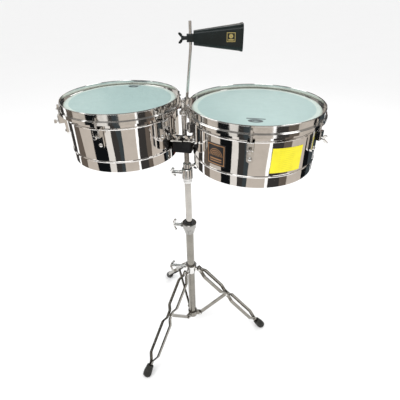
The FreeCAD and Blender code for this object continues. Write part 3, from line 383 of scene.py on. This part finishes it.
def sheet_patch(name, outer, inner, rows, columns, material, body):
    """A thin closed patch from two point functions of (s, t), each 0..1: its outer and inner faces."""
    verts = []
    for face in (outer, inner):
        for row in range(rows + 1):
            for column in range(columns + 1):
                verts.append(face(column / columns, row / rows))
    count = (rows + 1) * (columns + 1)
    faces = grid_faces(rows, columns)
    faces += [tuple(reversed(face)) for face in grid_faces(rows, columns, count)]
    loop = list(range(columns))
    loop += [columns + r * (columns + 1) for r in range(rows)]
    loop += [rows * (columns + 1) + c for c in range(columns, 0, -1)]
    loop += [r * (columns + 1) for r in range(rows, 0, -1)]
    for a, b in zip(loop, loop[1:] + loop[:1]):
        faces.append((b, a, a + count, b + count))
    return place(name, mesh_from(name, verts, faces), material, body, smooth=False)


# ---------------------------------------------------------------- stage and light
def floor():
    size = 40.0
    corners = [(-size, -size, 0), (size, -size, 0), (size, size, 0), (-size, size, 0)]
    made = Finish("floor_paper", (0.93, 0.93, 0.93), roughness=0.9)
    made.colour(made.mix(made.noise(1.5, 3.0), (0.92, 0.92, 0.92), (0.94, 0.94, 0.94)))
    made.set("Specular IOR Level", 0.1)
    place("floor", mesh_from("floor", corners, [(0, 1, 2, 3)]), made.material, smooth=False)


GLOWS = {"beige": (0.60, 0.54, 0.48), "cream": (0.85, 0.82, 0.78), "white": (1.35, 1.35, 1.35),
         "dark": (0.045, 0.042, 0.040), "black": (0.006, 0.007, 0.008), "brown": (0.14, 0.115, 0.095),
         "slate": (0.050, 0.062, 0.068), "maroon": (0.085, 0.018, 0.012)}
# where each streak starts, in shares of a lap
STREAKS = [(0.000, "beige"), (0.085, "white"), (0.100, "dark"), (0.150, "brown"), (0.185, "beige"),
           (0.270, "black"), (0.300, "slate"), (0.350, "white"), (0.362, "black"), (0.400, "maroon"),
           (0.425, "beige"), (0.495, "black"), (0.545, "slate"), (0.585, "cream"), (0.650, "dark"),
           (0.700, "white"), (0.715, "brown"), (0.770, "beige"), (0.840, "black"), (0.900, "cream"),
           (0.940, "dark"), (0.970, "slate")]
ROOM_LAPS = 1.0                    # times the streaks repeat round the room
ROOM_PHASE = 5.2                   # where the first streak starts, in laps
ROOM_WAVER = 0.06
CEILING_HEIGHT = 1.95
CEILING_PANELS = 4


def surroundings():
    """A round room of light and dark screens and ceiling panels, seen only in the object's reflections."""
    made = Finish("room_screens", BLACK)
    x, y, z = made.split()
    turn = made.math("DIVIDE", made.math("ARCTAN2", y, x), 2 * math.pi)
    waver = made.math("MULTIPLY", made.noise(1.7, 2.0), ROOM_WAVER)
    shifted = made.math("ADD", waver, ROOM_PHASE)
    laps = made.math("FRACT", made.math("ADD", made.math("MULTIPLY", turn, ROOM_LAPS), shifted))
    streaks = made.node("ShaderNodeValToRGB")
    stops = streaks.color_ramp
    stops.interpolation = "CONSTANT"
    stops.elements[0].color = (*GLOWS[STREAKS[0][1]], 1)
    stops.elements[1].position = STREAKS[-1][0]
    stops.elements[1].color = (*GLOWS[STREAKS[-1][1]], 1)
    for position, key in STREAKS[1:-1]:
        stops.elements.new(position).color = (*GLOWS[key], 1)
    made.link(laps, streaks.inputs["Fac"])
    panel_wave = made.math("COSINE", made.math("MULTIPLY", turn, 2 * math.pi * CEILING_PANELS))
    panel = made.ramp(panel_wave, -0.1, 0.05)
    high = made.math("MULTIPLY", panel, made.band(z, CEILING_HEIGHT, 0.16, 0.04))
    ceiling = made.mix(high, (0.20, 0.195, 0.19), (2.2, 2.2, 2.2))
    above = made.mix(made.ramp(z, 1.25, 1.6), streaks.outputs["Color"], ceiling)
    shown = made.mix(made.ramp(z, 0.015, 0.05, 1.0, 0.0), above, (0.75, 0.75, 0.75))
    glow = made.node("ShaderNodeEmission")
    made.link(shown, glow.inputs["Color"])
    made.link(glow.outputs[0], made.tree.nodes["Material Output"].inputs["Surface"])
    profile = [(1.25, 0.004), (1.25, 0.4), (1.25, 0.8), (1.25, 1.2), (1.2, 1.6), (1.0, CEILING_HEIGHT),
               (0.7, 2.2), (0.3, 2.35), (0.02, 2.38)]
    steps = 96
    verts = []
    for radius, height in profile:
        for step in range(steps + 1):
            angle = 2 * math.pi * step / steps
            verts.append((radius * math.cos(angle), radius * math.sin(angle), height))
    walls = mesh_from("room_screens", verts, grid_faces(len(profile) - 1, steps))
    room = place("room_screens", walls, made.material)
    room.visible_camera = False
    room.visible_diffuse = False
    room.visible_shadow = False
    room.visible_transmission = False


def area_light(name, spot, target, size, power):
    data = bpy.data.lights.new(name, "AREA")
    data.shape = "DISK"
    data.size = size
    data.energy = power
    light = bpy.data.objects.new(name, data)
    bpy.context.scene.collection.objects.link(light)
    light.location = spot
    light.rotation_euler = (Vector(target) - Vector(spot)).to_track_quat("-Z", "Y").to_euler()


WORLD_STRENGTH = 0.98
LAMP_SIZE = 1.8
LAMPS = {"key": ((-1.3, -1.5, 2.9), (0, 0, 0.6), 30), "fill": ((1.9, -0.9, 2.4), (0, 0, 0.6), 16),
         "back": ((0.4, 2.2, 2.7), (0, 0, 0.7), 16)}


def lights():
    world = bpy.data.worlds.new("studio")
    bpy.context.scene.world = world
    world.use_nodes = True
    back = world.node_tree.nodes["Background"]
    back.inputs["Color"].default_value = (1.0, 1.0, 1.0, 1)
    back.inputs["Strength"].default_value = WORLD_STRENGTH
    for name, (spot, target, power) in LAMPS.items():
        area_light(name, spot, target, LAMP_SIZE, power)
    view = bpy.context.scene.view_settings
    view.view_transform = "Standard"
    view.look = "None"


def camera():
    data = bpy.data.cameras.new("view")
    data.lens = LENS_MM
    data.sensor_width = SENSOR_MM
    view = bpy.data.objects.new("view", data)
    bpy.context.scene.collection.objects.link(view)
    turn = Matrix.Rotation(math.radians(CAMERA_TURN), 4, "Z")
    tilt = Matrix.Rotation(math.radians(90 - CAMERA_DOWN), 4, "X")
    roll = Matrix.Rotation(math.radians(CAMERA_ROLL), 4, "Z")
    view.matrix_world = Matrix.Translation(CAMERA_PLACE) @ turn @ tilt @ roll
    bpy.context.scene.camera = view


# ---------------------------------------------------------------- finishes on the CAD nodes
def paint_nodes():
    # painted shade: darker copies of the chrome on the middle tube, upper post and height clamp, toning
    # down the ceiling panels' highlights
    pale = plated("tube_plating_painted_shade", TUBE_PLATING_PAINTED_SHADE, 0.10, 0.2, 0.86)
    clamp = plated("clamp_plating_painted_shade", CLAMP_PLATING_PAINTED_SHADE, 0.06, 0.14, 0.80)
    finishes = {"chrome": plated("chrome_hardware", CHROME, 0.05, 0.12, 0.84),
                "shell_chrome": plated("chrome_shell", SHELL_CHROME, 0.02, 0.05, 0.93, 0.12),
                # painted shade: the darkened stand plating, standing in for reflected dark surroundings
                "stand_nickel": plated("stand_plating_painted_shade", STAND_PLATING_PAINTED_SHADE, 0.16, 0.28, 0.80),
                "flesh_hoop": aluminium(),
                "black_block": powder_coat(),
                "cowbell_black": bell_enamel(),
                "bush_plastic": moulded_black(),
                "foot_rubber": rubber(),
                "badge": badge_enamel(),
                "middle_tube": pale,
                "upper_post": pale,
                "height_clamp": clamp}
    marks = {"left_head": ((-0.0135, 0.139), 0.019), "right_head": ((0.0075, -0.1245), 0.021)}
    for node, (mark, size) in marks.items():
        low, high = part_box(node)
        finishes[node] = drum_film(node + "_film", centre_of(node), (high[0] - low[0]) / 2, mark, size)
    for sub in frame["record"]["subparts"]:
        node = sub["node"]
        mesh = frame["nodes"][node].data
        mesh.materials.clear()
        mesh.materials.append(finishes.get(node, finishes.get(sub["material_slot"])))


# ---------------------------------------------------------------- small surface pieces
def shell_label():
    """The blank yellow label on the right shell's front."""
    axis = centre_of("right_head")
    radius = RIGHT_SHELL_RADIUS
    skin = 0.00025
    middle_angle = math.radians(303.0)
    half_angle = math.radians(14.6)
    middle_z = 0.909
    half_z = 0.0345
    tilt = math.radians(-2.5)

    def face(lift):
        def at(s, t):
            u = (2 * s - 1) * half_angle * radius
            v = (2 * t - 1) * half_z
            turn = middle_angle + (u * math.cos(tilt) - v * math.sin(tilt)) / radius
            up = u * math.sin(tilt) + v * math.cos(tilt)
            reach = radius + lift
            return (axis[0] + reach * math.cos(turn), axis[1] + reach * math.sin(turn), middle_z + up)
        return at
    thick = 0.0002
    sheet_patch("right_shell_label", face(skin + thick), face(skin), 6, 40, label_paper(),
                "right_drum")


def bell_mark():
    """The small gold printed square on the bell's front, near its mouth."""
    low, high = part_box("cowbell_rod")
    axis = Vector((high[0] - 0.004, centre_of("cowbell_rod")[1], centre_of("cowbell")[2]))
    along = Vector((math.cos(BELL_TURN), math.sin(BELL_TURN), 0))
    out = Vector((math.sin(BELL_TURN), -math.cos(BELL_TURN), 0))
    size = 0.0118
    start = 0.110
    rise = Vector((0, 0, 0.003))

    def face(lift):
        def at(s, t):
            down_bell = start + (2 * s - 1) * size
            half_deep = (BELL_BACK_DEPTH + BELL_MOUTH_GROWTH * (down_bell - BELL_START) / BELL_LENGTH) / 2
            up_mark = Vector((0, 0, (2 * t - 1) * size))
            return axis + along * down_bell + out * (half_deep + lift) + rise + up_mark
        return at
    print_finish = gold_print(axis + along * start + rise, along)
    sheet_patch("cowbell_mark", face(0.0005), face(0.0003), 4, 4, print_finish, "cowbell")


floor()
surroundings()
lights()
camera()
paint_nodes()
shell_label()
bell_mark()
